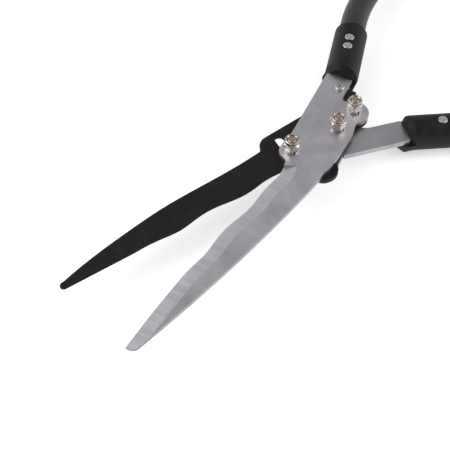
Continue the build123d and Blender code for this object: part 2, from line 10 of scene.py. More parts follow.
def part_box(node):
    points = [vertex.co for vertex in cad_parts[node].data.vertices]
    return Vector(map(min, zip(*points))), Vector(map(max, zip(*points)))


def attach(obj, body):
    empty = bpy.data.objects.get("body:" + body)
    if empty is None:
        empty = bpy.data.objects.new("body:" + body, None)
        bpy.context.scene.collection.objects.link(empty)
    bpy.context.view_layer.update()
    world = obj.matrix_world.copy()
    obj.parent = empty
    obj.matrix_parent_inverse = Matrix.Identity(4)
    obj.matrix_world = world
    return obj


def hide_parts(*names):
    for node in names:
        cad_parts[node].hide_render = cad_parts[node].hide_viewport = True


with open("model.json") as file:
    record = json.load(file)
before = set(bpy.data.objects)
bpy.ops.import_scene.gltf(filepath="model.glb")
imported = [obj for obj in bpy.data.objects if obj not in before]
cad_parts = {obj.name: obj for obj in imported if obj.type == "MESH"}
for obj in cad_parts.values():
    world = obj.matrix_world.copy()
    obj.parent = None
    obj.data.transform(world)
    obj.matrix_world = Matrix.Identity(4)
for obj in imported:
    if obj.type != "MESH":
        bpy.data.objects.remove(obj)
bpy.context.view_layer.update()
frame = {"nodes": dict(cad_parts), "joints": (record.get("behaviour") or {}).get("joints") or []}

bl_info = {
    "name": "Hedge shears",
    "version": (1, 0, 0),
    "blender": (4, 5, 0),
    "location": "View3D > Sidebar > Shears",
    "description": "Builds the pieces, finishes and studio of compound-action hedge shears",
    "category": "Object",
}

MM = 0.001
JOINTS = {joint["name"]: Vector(joint["pos_m"]) for joint in frame["joints"]}
LEVER_AXIS = JOINTS["lever_pivot"]
PAINTED_REFLECTION_FROM = LEVER_AXIS.z + 10.0 * MM     # the nuts' plating takes a painted warm reflection of the room above this level

# Each arm: compass bearing in degrees, sideways offset and the side its handle leans to.
ARMS = {
    "upper": {"bearing": -70.4, "offset": 20.8 * MM, "side": 1, "body": "upper_half"},
    "lower": {"bearing": -118.3, "offset": 14.6 * MM, "side": -1, "body": "lever"},
}
ELBOW = 65.5 * MM               # from the lever pivot to the bend between arm and handle
SPLAY = 12.0
TUBE_START = 18.0 * MM
BEND_START = 74.0 * MM
BEND_RADIUS = 180.0 * MM
BEND_ANGLE = 26.0
TUBE_TAIL = 180.0 * MM
RIVET_PLACES = (26.0 * MM, 38.0 * MM)
GRIP_SECTION = (34.0 * MM, 31.0 * MM)
GRIP_CORNER = 11.0 * MM
GRIP_LENGTH = 142.0 * MM
GRIP_FLANGE = 3.0 * MM
GROOVE_PITCH = 6.5 * MM
GROOVE_MARGIN = 17.0 * MM       # plain rubber between the rings and either end of a grip
RIVET_RADIUS = 2.5 * MM
BORE_ROOM = 0.03 * MM           # between a tube and the grip on it
WASHER_SPLIT = 150.0            # bearing of a lock washer's split from its nut's first corner
NO_WARMTH = 1.0                 # a level in metres above every piece
CAMERA_FROM_PIVOT = Vector((-0.32254, 0.46128, 0.58745))
CAMERA_AIM = Vector((0.4292, -0.4292, -0.794))
CAMERA_LENS = 73.36

PAINTED_TIP_SHADE = (0.25, 0.36)        # painted shade: the steel's colour darkens from here towards the blade's tip, standing in for a darker reflection, in metres along Y

FINISHES = {}


# ---- sizes and colours ------------------------------------------------------------------
class ShearsSizes(bpy.types.PropertyGroup):
    """Small sizes that change the look of the shears but not their fit."""

    edge_break: FloatProperty(
        name="Edge break", description="Width of the bevel on sheared steel edges",
        default=0.25 * MM, min=0.0, unit="LENGTH", precision=5,
    )
    moulded_edge: FloatProperty(
        name="Moulded edge", description="Width of the rounding on moulded edges",
        default=0.5 * MM, min=0.0, unit="LENGTH", precision=5,
    )
    tube_radius: FloatProperty(
        name="Tube radius", description="Outer radius of the handle tubes",
        default=12.5 * MM, min=0.001, unit="LENGTH", precision=5,
    )
    tube_wall: FloatProperty(
        name="Tube wall", description="Wall thickness of the handle tubes",
        default=1.6 * MM, min=0.0001, unit="LENGTH", precision=5,
    )
    groove_depth: FloatProperty(
        name="Groove depth", description="Depth of the rings pressed into the grips",
        default=1.3 * MM, min=0.0, unit="LENGTH", precision=5,
    )
    groove_count: IntProperty(
        name="Grooves", description="Rings in each group on a grip", default=4, min=1, max=8,
    )
    washer_gap: FloatProperty(
        name="Lock washer gap", description="Angle left open in each lock washer",
        default=radians(14), min=0.0, subtype="ANGLE", unit="ROTATION",
    )


class ShearsColours(bpy.types.PropertyGroup):
    """Colours of the finishes, as linear values."""

    steel: FloatVectorProperty(
        name="Blade steel", description="Satin steel of the upper blade",
        default=(0.54, 0.527, 0.548), subtype="COLOR", min=0.0, max=1.0,
    )
    ground: FloatVectorProperty(
        name="Ground edge", description="Freshly ground bevel",
        default=(0.66, 0.67, 0.69), subtype="COLOR", min=0.0, max=1.0,
    )
    plated: FloatVectorProperty(
        name="Lever steel", description="Plated steel of the lever arm",
        default=(0.39, 0.388, 0.415), subtype="COLOR", min=0.0, max=1.0,
    )
    black_coat: FloatVectorProperty(
        name="Black coating", description="Coating of the lower blade",
        default=(0.0085, 0.0068, 0.0048), subtype="COLOR", min=0.0, max=1.0,
    )
    nickel: FloatVectorProperty(
        name="Nickel", description="Bright nickel of the nuts and washers",
        default=(0.8, 0.78, 0.75), subtype="COLOR", min=0.0, max=1.0,
    )
    # painted reflection: this warm tone stands for the brown room mirrored in the nuts' collars and the bolt
    # ends
    nickel_reflection: FloatVectorProperty(
        name="Nickel reflection tint", description="Painted warm reflection on the collars of the nuts",
        default=(0.42, 0.34, 0.27), subtype="COLOR", min=0.0, max=1.0,
    )
    zinc: FloatVectorProperty(
        name="Zinc", description="Zinc plated bolts and rivets",
        default=(0.55, 0.55, 0.53), subtype="COLOR", min=0.0, max=1.0,
    )
    plastic: FloatVectorProperty(
        name="Plastic", description="Moulded black plastic",
        default=(0.009, 0.0092, 0.0086), subtype="COLOR", min=0.0, max=1.0,
    )
    tube_coat: FloatVectorProperty(
        name="Tube coating", description="Powder coating of the handle tubes",
        default=(0.03, 0.031, 0.033), subtype="COLOR", min=0.0, max=1.0,
    )
    rubber: FloatVectorProperty(
        name="Rubber", description="Soft rubber of the grips and the buffer",
        default=(0.02, 0.02, 0.021), subtype="COLOR", min=0.0, max=1.0,
    )


# ---- shader building --------------------------------------------------------------------
def add_node(tree, kind, wires=None, **settings):
    """A shader node with its settings, and its inputs wired to sockets or set to values."""
    made = tree.nodes.new(kind)
    for key, value in settings.items():
        setattr(made, key, value)
    for key, value in (wires or {}).items():
        if isinstance(value, bpy.types.NodeSocket):
            tree.links.new(value, made.inputs[key])
        else:
            made.inputs[key].default_value = value
    return made


def noise(tree, vector, scale, detail=2.0, roughness=0.5):
    """Value of a noise texture."""
    wires = {"Vector": vector, "Scale": scale, "Detail": detail, "Roughness": roughness}
    return add_node(tree, "ShaderNodeTexNoise", wires).outputs["Fac"]


def remap(tree, value, low, high, to_low=0.0, to_high=1.0):
    """Value taken from one range to another, clamped and eased."""
    wires = {"Value": value, 1: low, 2: high, 3: to_low, 4: to_high}
    made = add_node(tree, "ShaderNodeMapRange", wires, interpolation_type="SMOOTHSTEP")
    return made.outputs["Result"]


def maths(tree, operation, first, second):
    """Result of a two-value sum."""
    return add_node(tree, "ShaderNodeMath", {0: first, 1: second}, operation=operation).outputs[0]


def blend_colour(tree, factor, first, second):
    """Colour between two colours."""
    wires = {0: factor, 6: first, 7: second}
    return add_node(tree, "ShaderNodeMix", wires, data_type="RGBA").outputs[2]


def blend_value(tree, factor, first, second):
    """Value between two values."""
    return add_node(tree, "ShaderNodeMix", {0: factor, 2: first, 3: second}).outputs[0]


def new_group(name, inputs, outputs):
    """An empty shader node group with named sockets, its inlet and its outlet."""
    group = bpy.data.node_groups.new(name, "ShaderNodeTree")
    for label, kind, value in inputs:
        socket = group.interface.new_socket(name=label, in_out="INPUT", socket_type=kind)
        if value is not None:
            socket.default_value = value
    for label in outputs:
        group.interface.new_socket(name=label, in_out="OUTPUT", socket_type="NodeSocketFloat")
    return group, group.nodes.new("NodeGroupInput").outputs, group.nodes.new("NodeGroupOutput").inputs


def mottle_group():
    """Soft cloudy patches, as on satin steel or a handled coating."""
    group, given, wanted = new_group(
        "Mottle", [("Vector", "NodeSocketVector", None), ("Scale", "NodeSocketFloat", 40.0)], ["Mask"],
    )
    wide = noise(group, given["Vector"], given["Scale"], 3.0, 0.55)
    finer = maths(group, "MULTIPLY", given["Scale"], 4.3)
    fine = noise(group, given["Vector"], finer, 2.0, 0.6)
    both = maths(group, "ADD", maths(group, "MULTIPLY", wide, 0.72), maths(group, "MULTIPLY", fine, 0.28))
    group.links.new(remap(group, both, 0.33, 0.67), wanted["Mask"])
    return group


def brushed_group():
    """Fine marks that all run one way: across X of the given vector, along its Y."""
    group, given, wanted = new_group(
        "Brushed marks",
        [("Vector", "NodeSocketVector", None), ("Spacing", "NodeSocketFloat", 1500.0),
         ("Length", "NodeSocketFloat", 60.0)],
        ["Mask", "Height"],
    )
    sizes = {0: given["Spacing"], 1: given["Length"], 2: given["Length"]}
    stretch = add_node(group, "ShaderNodeCombineXYZ", sizes)
    run = add_node(
        group, "ShaderNodeVectorMath", {0: given["Vector"], 1: stretch.outputs[0]}, operation="MULTIPLY",
    ).outputs[0]
    fine = noise(group, run, 1.0, 3.0, 0.65)
    coarse = noise(group, run, 0.24, 1.0, 0.5)
    both = maths(group, "ADD", maths(group, "MULTIPLY", fine, 0.6), maths(group, "MULTIPLY", coarse, 0.4))
    group.links.new(remap(group, both, 0.3, 0.7), wanted["Mask"])
    group.links.new(both, wanted["Height"])
    return group


def moulded_group():
    """Fine pebbled grain of a mould or a powder coat."""
    group, given, wanted = new_group(
        "Moulded grain", [("Vector", "NodeSocketVector", None), ("Scale", "NodeSocketFloat", 1400.0)],
        ["Mask", "Height"],
    )
    cells = add_node(
        group, "ShaderNodeTexVoronoi",
        {"Vector": given["Vector"], "Scale": given["Scale"], "Randomness": 1.0},
        feature="SMOOTH_F1",
    ).outputs["Distance"]
    grit = noise(group, given["Vector"], given["Scale"], 3.0, 0.6)
    both = maths(group, "ADD", maths(group, "MULTIPLY", cells, 0.7), maths(group, "MULTIPLY", grit, 0.3))
    group.links.new(remap(group, grit, 0.42, 0.7), wanted["Mask"])
    group.links.new(both, wanted["Height"])
    return group


def wear_group():
    """Wear that starts on the broken edges and breaks up into flecks."""
    group, given, wanted = new_group(
        "Edge wear",
        [("Edge", "NodeSocketFloat", 0.0), ("Vector", "NodeSocketVector", None),
         ("Scale", "NodeSocketFloat", 180.0), ("Amount", "NodeSocketFloat", 0.5)],
        ["Mask"],
    )
    broken = noise(group, given["Vector"], given["Scale"], 4.0, 0.65)
    start = maths(group, "SUBTRACT", 0.78, maths(group, "MULTIPLY", given["Amount"], 0.5))
    level = maths(group, "SUBTRACT", broken, start)
    fleck = remap(group, level, 0.0, 0.12)
    group.links.new(maths(group, "MULTIPLY", fleck, given["Edge"]), wanted["Mask"])
    return group


def scratch_group():
    """Sparse hairline scratches running two ways."""
    group, given, wanted = new_group(
        "Hairlines", [("Vector", "NodeSocketVector", None), ("Scale", "NodeSocketFloat", 9.0)], ["Mask"],
    )
    lines = []
    for turn, stretch in ((0.5, 42.0), (2.1, 55.0)):
        laid = add_node(
            group, "ShaderNodeMapping",
            {"Vector": given["Vector"], "Rotation": (0.0, 0.0, turn), "Scale": (stretch, 1.0, 1.0)},
        ).outputs[0]
        peak = remap(group, noise(group, laid, given["Scale"], 1.0, 0.4), 0.74, 0.78)
        gate = remap(group, noise(group, given["Vector"], 55.0, 1.0, 0.5), 0.5, 0.65)
        lines.append(maths(group, "MULTIPLY", peak, gate))
    group.links.new(maths(group, "MAXIMUM", lines[0], lines[1]), wanted["Mask"])
    return group


def dust_group():
    """Pale dust that settles on faces turned upwards."""
    group, given, wanted = new_group(
        "Dust", [("Vector", "NodeSocketVector", None), ("Up", "NodeSocketFloat", 1.0),
                 ("Scale", "NodeSocketFloat", 90.0)], ["Mask"],
    )
    cloud = remap(group, noise(group, given["Vector"], given["Scale"], 5.0, 0.7), 0.48, 0.72)
    group.links.new(maths(group, "MULTIPLY", cloud, remap(group, given["Up"], 0.2, 0.95)), wanted["Mask"])
    return group


def place_group(tree, name, wires):
    """One of the shared effects, placed in a material."""
    made = tree.nodes.new("ShaderNodeGroup")
    made.node_tree = bpy.data.node_groups[name]
    for key, value in wires.items():
        if isinstance(value, bpy.types.NodeSocket):
            tree.links.new(value, made.inputs[key])
        else:
            made.inputs[key].default_value = value
    return made.outputs


def start_material(name, metallic, specular=0.5):
    """A material with its shader, its Object coordinates, the upward normal and the edge mask."""
    material = bpy.data.materials.new(name)
    material.use_nodes = True
    tree = material.node_tree
    shader = tree.nodes["Principled BSDF"]
    shader.inputs["Metallic"].default_value = metallic
    shader.inputs["Specular IOR Level"].default_value = specular
    here = add_node(tree, "ShaderNodeTexCoord")
    up = add_node(tree, "ShaderNodeSeparateXYZ", {0: here.outputs["Normal"]}).outputs[2]
    edge = add_node(tree, "ShaderNodeAttribute", attribute_name="edge").outputs["Fac"]
    FINISHES[name] = material
    return tree, shader, here.outputs["Object"], up, edge


def bump(tree, shader, height, depth, normal=None):
    """Relief of a given depth in metres, chained on any relief before it."""
    wires = {"Height": height, "Strength": 1.0, "Distance": depth}
    if normal is not None:
        wires["Normal"] = normal
    made = add_node(tree, "ShaderNodeBump", wires)
    tree.links.new(made.outputs[0], shader.inputs["Normal"])
    return made.outputs[0]


def opaque(colour, share=1.0):
    """A colour property as four numbers, made lighter or darker by a share."""
    return (*[min(1.0, part * share) for part in colour], 1.0)


def laid_along(tree, vector, bearing):
    """Object coordinates turned so that X runs along a bearing in degrees."""
    wires = {"Vector": vector, "Rotation": (0.0, 0.0, radians(-bearing))}
    return add_node(tree, "ShaderNodeMapping", wires).outputs[0]


def satin_steel(name, colour, bearing, warm=(1.0, 1.0, 1.0)):
    """Bead-blasted, lightly brushed steel sheet with cloudy patches, painted shade towards the blade's tip
    and a painted highlight mixed into the wear on broken edges.
    """
    tree, shader, place, _, edge = start_material(name, 1.0)
    cloud = place_group(tree, "Mottle", {"Vector": place, "Scale": 34.0})["Mask"]
    laid = laid_along(tree, place, bearing + 90)
    marks = place_group(tree, "Brushed marks", {"Vector": laid, "Spacing": 2600.0, "Length": 120.0})
    hair = place_group(tree, "Hairlines", {"Vector": place, "Scale": 7.0})["Mask"]
    wires = {"Edge": edge, "Vector": place, "Scale": 140.0, "Amount": 0.9}
    worn = place_group(tree, "Edge wear", wires)["Mask"]
    warmer = [part * share for part, share in zip(colour, warm)]
    tone = blend_colour(tree, cloud, opaque(colour, 0.88), opaque(warmer, 1.14))
    tone = blend_colour(tree, maths(tree, "MULTIPLY", marks["Mask"], 0.22), tone, opaque(colour, 1.4))
    tone = blend_colour(tree, maths(tree, "MULTIPLY", hair, 0.3), tone, opaque(colour, 1.7))
    # edge wear and painted highlight: the flecked broken edges are lightened
    tone = blend_colour(tree, maths(tree, "MULTIPLY", worn, 0.75), tone, opaque(colour, 1.6))
    # painted shade: the colour is darkened towards the blade's tip in place of a darker reflection
    ahead = add_node(tree, "ShaderNodeSeparateXYZ", {0: place}).outputs[1]
    tone = blend_colour(tree, remap(tree, ahead, PAINTED_TIP_SHADE[0], PAINTED_TIP_SHADE[1]), tone, opaque(colour, 0.6))
    tree.links.new(tone, shader.inputs["Base Color"])
    rough = blend_value(tree, cloud, 0.4, 0.5)
    rough = blend_value(tree, marks["Mask"], rough, 0.36)
    tree.links.new(rough, shader.inputs["Roughness"])
    first = bump(tree, shader, marks["Height"], 0.012 * MM)
    bump(tree, shader, cloud, 0.03 * MM, first)


def ground_steel(name, colour, bearing):
    """A ground bevel: marks of the wheel run straight across the edge."""
    tree, shader, place, _, _ = start_material(name, 1.0)
    laid = laid_along(tree, place, bearing)
    marks = place_group(tree, "Brushed marks", {"Vector": laid, "Spacing": 900.0, "Length": 25.0})
    bands = place_group(tree, "Brushed marks", {"Vector": laid, "Spacing": 160.0, "Length": 12.0})["Mask"]
    tone = blend_colour(tree, marks["Mask"], opaque(colour, 0.92), opaque(colour, 1.12))
    tone = blend_colour(tree, maths(tree, "MULTIPLY", bands, 0.2), tone, opaque(colour, 1.3))
    tree.links.new(tone, shader.inputs["Base Color"])
    tree.links.new(blend_value(tree, marks["Mask"], 0.28, 0.42), shader.inputs["Roughness"])
    bump(tree, shader, marks["Height"], 0.012 * MM)


def coated_steel(name, colour, scale, depth, wear, bare, rough=(0.5, 0.62)):
    """A dark coating on steel: fine grain, dust, and bare flecks on the edges."""
    tree, shader, place, up, edge = start_material(name, 0.0, 0.24)
    grain = place_group(tree, "Moulded grain", {"Vector": place, "Scale": scale})
    cloud = place_group(tree, "Mottle", {"Vector": place, "Scale": 26.0})["Mask"]
    dust = place_group(tree, "Dust", {"Vector": place, "Up": up, "Scale": 70.0})["Mask"]
    wires = {"Edge": edge, "Vector": place, "Scale": 210.0, "Amount": wear}
    worn = place_group(tree, "Edge wear", wires)["Mask"]
    tone = blend_colour(tree, cloud, opaque(colour, 0.8), opaque(colour, 1.25))
    tone = blend_colour(tree, maths(tree, "MULTIPLY", grain["Mask"], 0.5), tone, opaque(colour, 2.2))
    tone = blend_colour(tree, maths(tree, "MULTIPLY", dust, 0.02), tone, (0.32, 0.3, 0.27, 1.0))
    tone = blend_colour(tree, worn, tone, opaque(bare))
    tree.links.new(tone, shader.inputs["Base Color"])
    tree.links.new(worn, shader.inputs["Metallic"])
    tree.links.new(blend_value(tree, cloud, rough[0], rough[1]), shader.inputs["Roughness"])
    bump(tree, shader, grain["Height"], depth)


def plated_metal(name, colour, warm, level, rough, dimple=0.03 * MM):
    """Bright plating with faint dimples; a painted warm reflection gathers above a level in metres, and
    painted highlights lighten the marked edges.
    """
    tree, shader, place, _, edge = start_material(name, 1.0)
    height = add_node(tree, "ShaderNodeSeparateXYZ", {0: place}).outputs[2]
    cloud = place_group(tree, "Mottle", {"Vector": place, "Scale": 240.0})["Mask"]
    hair = place_group(tree, "Hairlines", {"Vector": place, "Scale": 30.0})["Mask"]
    high = remap(tree, height, level, level + 5.0 * MM)
    # painted reflection: above the level the plating turns towards the second colour, for the nuts a warm
    # reflection of the room; cloudy patches blend in a little of the second colour at any height
    painted_reflection_mask = maths(tree, "MULTIPLY", high, blend_value(tree, cloud, 0.55, 1.0))
    tone = blend_colour(tree, painted_reflection_mask, opaque(colour), opaque(warm))
    tone = blend_colour(tree, maths(tree, "MULTIPLY", cloud, 0.18), tone, opaque(warm, 0.7))
    # painted highlight: the marked edge faces, such as the nuts' hex corners, are lightened
    tone = blend_colour(tree, maths(tree, "MULTIPLY", edge, 0.5), tone, opaque(colour, 1.2))
    tree.links.new(tone, shader.inputs["Base Color"])
    value = blend_value(tree, cloud, rough, rough * 1.7)
    value = blend_value(tree, maths(tree, "MULTIPLY", hair, 0.5), value, 0.4)
    tree.links.new(value, shader.inputs["Roughness"])
    bump(tree, shader, cloud, dimple)


def moulded_polymer(name, colour, scale, depth, rough, dusty):
    """Moulded plastic or rubber: pebbled grain, soft patches, dust and rubbed edges."""
    tree, shader, place, up, edge = start_material(name, 0.0, 0.22)
    grain = place_group(tree, "Moulded grain", {"Vector": place, "Scale": scale})
    cloud = place_group(tree, "Mottle", {"Vector": place, "Scale": 30.0})["Mask"]
    dust = place_group(tree, "Dust", {"Vector": place, "Up": up, "Scale": 110.0})["Mask"]
    wires = {"Edge": edge, "Vector": place, "Scale": 90.0, "Amount": 0.8}
    rubbed = place_group(tree, "Edge wear", wires)["Mask"]
    tone = blend_colour(tree, cloud, opaque(colour, 0.8), opaque(colour, 1.2))
    tone = blend_colour(tree, maths(tree, "MULTIPLY", dust, dusty), tone, (0.3, 0.29, 0.27, 1.0))
    tone = blend_colour(tree, maths(tree, "MULTIPLY", rubbed, 0.3), tone, opaque(colour, 3.5))
    tree.links.new(tone, shader.inputs["Base Color"])
    value = blend_value(tree, cloud, rough[0], rough[1])
    tree.links.new(blend_value(tree, rubbed, value, rough[0] * 0.7), shader.inputs["Roughness"])
    bump(tree, shader, grain["Height"], depth)


# ---- mesh building ----------------------------------------------------------------------
def hand_over(bm, name, body, nodes, finishes, crease=32):
    """Turns a finished bmesh into a piece of the shears that stands for CAD nodes."""
    mesh = bpy.data.meshes.new(name)
    bm.to_mesh(mesh)
    bm.free()
    mesh.shade_smooth()
    mesh.set_sharp_from_angle(angle=radians(crease))
    for finish in finishes:
        mesh.materials.append(FINISHES[finish])
    piece = bpy.data.objects.new(name, mesh)
    bpy.context.scene.collection.objects.link(piece)
    weighted = piece.modifiers.new("Flat faces stay flat", "WEIGHTED_NORMAL")
    weighted.keep_sharp = True
    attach(piece, body)
    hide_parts(*nodes)
    return piece


def mark_edges(bm, faces):
    """Writes the edge mask: one on the given faces and nought elsewhere."""
    bm.faces.index_update()
    marked = {face.index for face in faces}
    layer = bm.faces.layers.float.get("edge") or bm.faces.layers.float.new("edge")
    for face in bm.faces:
        if face.index in marked:
            face[layer] = 1.0


def clean_copy(node):
    """A CAD solid's triangles, merged and joined into whole faces."""
    bm = bmesh.new()
    bm.from_mesh(frame["nodes"][node].data)
    for layer in list(bm.loops.layers.uv):
        bm.loops.layers.uv.remove(layer)
    bmesh.ops.remove_doubles(bm, verts=bm.verts, dist=0.002 * MM)
    bmesh.ops.dissolve_limit(bm, angle_limit=radians(0.6), verts=bm.verts, edges=bm.edges)
    for face in bm.faces:
        face.material_index = 0
    return bm


def break_edges(bm, width, crease=35, skip=None, segments=2):
    """A small bevel on every sharp outer edge, marked for wear and for painted edge highlights."""
    chosen = [
        edge for edge in bm.edges
        if len(edge.link_faces) == 2 and edge.is_convex
        and edge.calc_face_angle(0.0) > radians(crease)
        and not (skip and any(skip(face) for face in edge.link_faces))
    ]
    made = bmesh.ops.bevel(
        bm, geom=chosen, offset=width, offset_type="OFFSET", segments=segments, profile=0.5,
        affect="EDGES", clamp_overlap=True, material=-1,
    )
    mark_edges(bm, made["faces"])


def lathe(profile, steps, closed=False):
    """A bmesh turned about Z from a profile of radius and height."""
    bm = bmesh.new()
    verts = [bm.verts.new((radius, 0.0, height)) for radius, height in profile]
    pairs = list(zip(verts, verts[1:])) + ([(verts[-1], verts[0])] if closed else [])
    edges = [bm.edges.new(pair) for pair in pairs]
    bmesh.ops.spin(
        bm, geom=verts + edges, cent=(0, 0, 0), axis=(0, 0, 1), dvec=(0, 0, 0),
        angle=2 * pi, steps=steps, use_merge=True, use_duplicate=False,
    )
    bmesh.ops.remove_doubles(bm, verts=bm.verts, dist=0.001 * MM)
    bmesh.ops.recalc_face_normals(bm, faces=bm.faces)
    return bm


def rounded_step(radius, height, corner, outward=1, turns=4):
    """Points of a rounded corner of a turned profile, from the side round to the flat."""
    points = []
    for step in range(turns + 1):
        angle = step / turns * pi / 2
        points.append((radius - corner + corner * cos(angle), height - outward * corner * (1 - sin(angle))))
    return points


def middle(node):
    """Centre of a CAD node's box."""
    low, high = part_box(node)
    return (low + high) / 2


def arm_frame(side, station=0.0):
    """Matrix of a handle: X runs back along it from its elbow, Z is up."""
    arm = ARMS[side]
    ahead = radians(arm["bearing"])
    out = ahead + arm["side"] * pi / 2
    level = middle(side + "_tube").z
    elbow = Vector((
        LEVER_AXIS.x + ELBOW * cos(ahead) + arm["offset"] * cos(out),
        LEVER_AXIS.y + ELBOW * sin(ahead) + arm["offset"] * sin(out), level,
    ))
    heading = ahead + arm["side"] * radians(SPLAY)
    turn = Matrix.Rotation(heading, 4, "Z")
    return Matrix.Translation(elbow) @ turn @ Matrix.Translation((station, 0, 0))


def grip_frame(side):
    """Matrix of a grip: its mouth is at the origin and X runs back out of the tube."""
    lean = ARMS[side]["side"]
    centre = Vector((BEND_START, -lean * BEND_RADIUS, 0))
    turn = Matrix.Rotation(-lean * radians(BEND_ANGLE), 4, "Z")
    bend_end = centre + turn.to_3x3() @ Vector((0, lean * BEND_RADIUS, 0))
    return arm_frame(side) @ Matrix.Translation(bend_end) @ turn @ Matrix.Translation((TUBE_TAIL, 0, 0))


# ---- operators --------------------------------------------------------------------------
class SHEARS_OT_finishes(bpy.types.Operator):
    """Builds the shared effects and every finish of the shears"""

    bl_idname = "shears.finishes"
    bl_label = "Finishes"

    def execute(self, context):
        look = context.scene.shears_colours
        for build in (mottle_group, brushed_group, moulded_group, wear_group, scratch_group, dust_group):
            build()
        satin_steel("Satin blade steel", look.steel, 99.0)
        ground_steel("Ground blade bevel", look.ground, 99.3)
        satin_steel("Sheared steel side", [part * 0.72 for part in look.steel], 0.0, (1.06, 1.0, 0.92))
        satin_steel("Plated lever steel", look.plated, -118.0, (1.04, 1.0, 0.96))
        coated_steel("Black blade coating", look.black_coat, 1700.0, 0.03 * MM, 0.35, look.plated)
        plated_metal("Nickel nut", look.nickel, look.nickel_reflection, PAINTED_REFLECTION_FROM, 0.14, 0.2 * MM)
        # painted reflection: the bolt end takes the warm reflection tint as its whole colour
        plated_metal("Bolt end", look.nickel_reflection, look.nickel, NO_WARMTH, 0.3)
        plated_metal("Nickel washer", look.nickel, look.nickel_reflection, NO_WARMTH, 0.16)
        plated_metal("Zinc plate", look.zinc, [part * 0.8 for part in look.zinc], NO_WARMTH, 0.26)
        moulded_polymer("Black plastic", look.plastic, 1500.0, 0.035 * MM, (0.5, 0.6), 0.03)
        coated_steel(
            "Tube powder coat", look.tube_coat, 1200.0, 0.05 * MM, 0.1, look.zinc, (0.36, 0.46),
        )
        moulded_polymer("Grip rubber", look.rubber, 900.0, 0.09 * MM, (0.6, 0.74), 0.1)
        moulded_polymer("Buffer rubber", look.rubber, 1300.0, 0.05 * MM, (0.55, 0.66), 0.05)
        return {"FINISHED"}


def side_or_bevel(bm, up):
    """Gives side walls the second finish and faces ground at a slant the third."""
    for face in bm.faces:
        face.normal_update()
        lift = face.normal.z * up
        if abs(face.normal.z) < 0.3:
            face.material_index = 1
        elif 0.8 < lift < 0.985:
            face.material_index = 2


STEEL_FINISHES = ["Satin blade steel", "Sheared steel side", "Ground blade bevel"]


class SHEARS_OT_blades(bpy.types.Operator):
    """Finishes the two wavy blades: ground bevels, sheared sides and broken edges"""

    bl_idname = "shears.blades"
    bl_label = "Blades"

    def execute(self, context):
        width = context.scene.shears_sizes.edge_break
        for node, up, finishes, slot in (
            ("upper_blade", 1, STEEL_FINISHES, "ground_steel"),
            ("lower_blade", -1, ["Black blade coating"] * 3, "black_coated_steel"),
        ):
            bm = clean_copy(node)
            side_or_bevel(bm, up)
            break_edges(bm, width, skip=lambda face: face.material_index == 2)
            body = "upper_half" if node == "upper_blade" else "lower_blade"
            hand_over(bm, node + "_plate", body, [node], finishes)
        return {"FINISHED"}


class SHEARS_OT_lever(bpy.types.Operator):
    """Finishes the lever arm and the pin that drives the lower blade"""

    bl_idname = "shears.lever"
    bl_label = "Lever arm"

    def execute(self, context):
        width = context.scene.shears_sizes.edge_break
        bm = clean_copy("lever_arm")
        break_edges(bm, width * 1.4)
        hand_over(bm, "lever_arm_plate", "lever", ["lever_arm"], ["Plated lever steel"])
        bm = clean_copy("drive_pin")
        hand_over(bm, "drive_pin_rivet", "lever", ["drive_pin"], ["Zinc plate"])
        return {"FINISHED"}


NUTS = (("blade_pivot", 12.0), ("lever_pivot", 26.0), ("guide", 3.0))
NUT_APOTHEM = 6.5 * MM
NUT_HEX = 6.3 * MM
NUT_HEIGHT = 10.2 * MM
NUT_BORE = 4.03 * MM
COLLAR_RADIUS = 6.2 * MM
COLLAR_ROUND = 1.2 * MM
COUNTERSINK = 0.6 * MM
NUT_SEGMENTS = 96


def hex_radius(angle, turn):
    """Distance from a nut's axis to its side at an angle, with softened corners."""
    off = (angle - turn) % (pi / 3) - pi / 6
    return min(NUT_APOTHEM / cos(off), NUT_APOTHEM / cos(pi / 6) * 0.982)


def extrude_rings(bm, edges, rings):
    """Extrudes a ring of edges through rings, each a rule from angle to radius and height."""
    for rule in rings:
        made = bmesh.ops.extrude_edge_only(bm, edges=edges)["geom"]
        for vert in (part for part in made if isinstance(part, bmesh.types.BMVert)):
            angle = atan2(vert.co.y, vert.co.x)
            radius, height = rule(angle)
            vert.co = (radius * cos(angle), radius * sin(angle), height)
        edges = [part for part in made if isinstance(part, bmesh.types.BMEdge)]
    return edges


